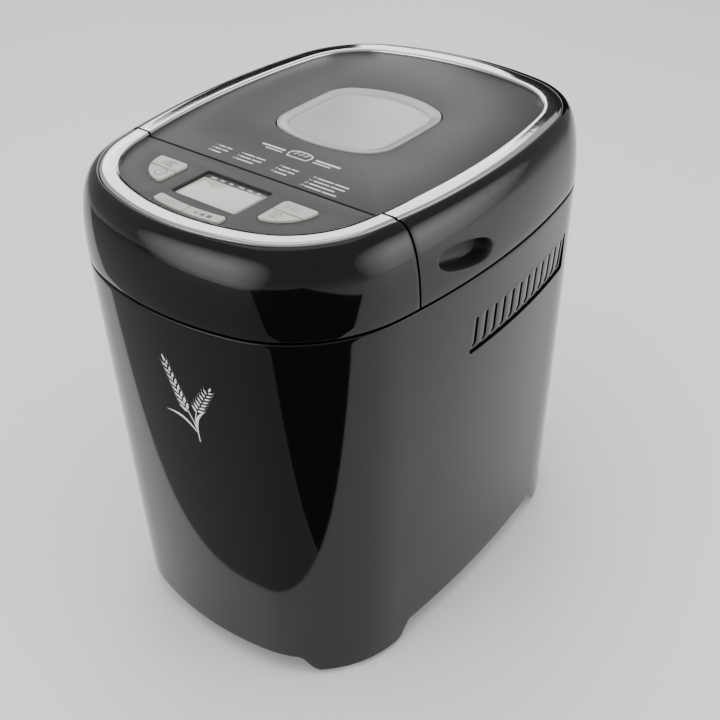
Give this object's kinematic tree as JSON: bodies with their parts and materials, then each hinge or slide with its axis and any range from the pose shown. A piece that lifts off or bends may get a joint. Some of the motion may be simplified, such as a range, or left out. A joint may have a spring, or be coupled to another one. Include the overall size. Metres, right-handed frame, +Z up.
{
  "type": "bread maker",
  "caption": "Household bread maker with a domed body, control top, hinged windowed lid, lift-out pan, paddle, heater and belt drive.",
  "frame": {"origin": "on the floor under the middle of the body", "axes": "+Z up, -Y towards the control top, +Y towards the lid's hinge, +X to the user's right"},
  "size_m": [0.2366, 0.3122, 0.311],
  "materials": {
    "black_gloss": "high gloss moulded",
    "black_matte": "fine matt moulded",
    "foot_rubber": "matt",
    "panel_grey": "satin printed",
    "bright_trim": "plated",
    "display_glass": "clear",
    "display_body": "satin",
    "frosted_glass": "frosted",
    "key_grey": "satin",
    "circuit_board": "satin",
    "switch_black": "matt",
    "screw_steel": "bright",
    "sheet_steel": "galvanised",
    "chamber_steel": "satin",
    "motor_steel": "satin",
    "capacitor_plastic": "satin",
    "belt_rubber": "matt",
    "cast_alloy": "as cast",
    "bush_bronze": "sintered",
    "element_metal": "oxidised",
    "ceramic": "glazed ceramic",
    "pan_coating": "non-stick coating",
    "handle_wire": "bright",
    "shaft_steel": "ground",
    "coupler_metal": "sintered",
    "fan_plastic": "matt"
  },
  "bodies": {
    "housing": {"lower_housing": "black_gloss", "base_plate": "black_matte", "rubber_feet": "foot_rubber", "vent_grilles": "black_matte", "cable_gland": "black_matte", "top_deck": "black_matte", "base_screws": "screw_steel", "chassis": "sheet_steel", "motor_body": "motor_steel", "motor_bracket": "sheet_steel", "run_capacitor": "capacitor_plastic", "power_board": "circuit_board", "drive_belt": "belt_rubber", "bearing_housing": "cast_alloy", "bearing_bushes": "bush_bronze", "baking_chamber": "chamber_steel", "heat_shield": "sheet_steel", "heating_element": "element_metal", "element_clips": "sheet_steel", "element_terminals": "ceramic", "pan_seat": "sheet_steel", "temperature_sensor": "sheet_steel", "hinge_brackets": "black_matte", "hinge_pins": "screw_steel", "control_housing": "black_gloss", "control_panel": "panel_grey", "control_trim": "bright_trim", "lcd_lens": "display_glass", "lcd_module": "display_body", "control_board": "circuit_board", "tact_switches": "switch_black"},
    "lid": {"lid_shell": "black_gloss", "lid_panel": "panel_grey", "lid_trim": "bright_trim", "window_bezel": "frosted_glass", "lid_window": "frosted_glass", "inner_window": "frosted_glass", "lid_liner": "chamber_steel", "lid_screws": "screw_steel", "hinge_leaves": "black_matte"},
    "pan": {"bread_pan": "pan_coating", "pan_base": "cast_alloy", "pan_bush": "bush_bronze", "pan_pivots": "screw_steel"},
    "handle": {"pan_handle": "handle_wire"},
    "pan_drive": {"pan_shaft": "shaft_steel", "shaft_coupler": "coupler_metal", "kneading_paddle": "pan_coating"},
    "spindle": {"drive_shaft": "shaft_steel", "large_pulley": "cast_alloy", "drive_coupler": "coupler_metal"},
    "rotor": {"motor_rotor": "shaft_steel", "small_pulley": "cast_alloy", "cooling_fan": "fan_plastic"},
    "key_menu_body": {"key_menu": "key_grey"},
    "key_timer_body": {"key_timer": "key_grey"},
    "key_loaf_body": {"key_loaf": "key_grey"},
    "key_colour_body": {"key_colour": "key_grey"},
    "key_start_body": {"key_start": "key_grey"},
    "key_stop_body": {"key_stop": "key_grey"}
  },
  "joints": [
    {"name": "lid_hinge", "type": "hinge", "parent": "housing", "child": "lid", "pos_m": [0, 0.1501, 0.267], "axis": [-1, 0, 0], "range_deg": [0, 95]},
    {"name": "pan_lift", "type": "slide", "parent": "housing", "child": "pan", "axis": [0, 0, 1], "range_m": [0, 0.033]},
    {"name": "handle_swing", "type": "hinge", "parent": "pan", "child": "handle", "pos_m": [0, 0.03395, 0.242], "axis": [1, 0, 0], "range_deg": [0, 150]},
    {"name": "rotor_spin", "type": "hinge", "parent": "housing", "child": "rotor", "pos_m": [-0.01, -0.0961, 0.05], "axis": [0, 0, 1], "continuous": true},
    {"name": "spindle_spin", "type": "hinge", "parent": "housing", "child": "spindle", "pos_m": [0, 0.03395, 0.07], "axis": [0, 0, 1], "continuous": true},
    {"name": "pan_drive_spin", "type": "hinge", "parent": "pan", "child": "pan_drive", "pos_m": [0, 0.03395, 0.13], "axis": [0, 0, 1], "continuous": true},
    {"name": "key_menu_press", "type": "slide", "parent": "housing", "child": "key_menu_body", "axis": [0, 0, -1], "range_m": [0, 0.0008], "stiffness_N_per_m": 400, "springref_m": -0.001},
    {"name": "key_timer_press", "type": "slide", "parent": "housing", "child": "key_timer_body", "axis": [0, 0, -1], "range_m": [0, 0.0008], "stiffness_N_per_m": 400, "springref_m": -0.001},
    {"name": "key_loaf_press", "type": "slide", "parent": "housing", "child": "key_loaf_body", "axis": [0, 0, -1], "range_m": [0, 0.0008], "stiffness_N_per_m": 400, "springref_m": -0.001},
    {"name": "key_colour_press", "type": "slide", "parent": "housing", "child": "key_colour_body", "axis": [0, 0, -1], "range_m": [0, 0.0008], "stiffness_N_per_m": 400, "springref_m": -0.001},
    {"name": "key_start_press", "type": "slide", "parent": "housing", "child": "key_start_body", "axis": [0, 0, -1], "range_m": [0, 0.0008], "stiffness_N_per_m": 400, "springref_m": -0.001},
    {"name": "key_stop_press", "type": "slide", "parent": "housing", "child": "key_stop_body", "axis": [0, 0, -1], "range_m": [0, 0.0008], "stiffness_N_per_m": 400, "springref_m": -0.001}
  ],
  "couplings": [
    {"joint": "spindle_spin", "follows": "rotor_spin", "ratio": 0.20833},
    {"joint": "pan_drive_spin", "follows": "rotor_spin", "ratio": 0.20833}
  ]
}
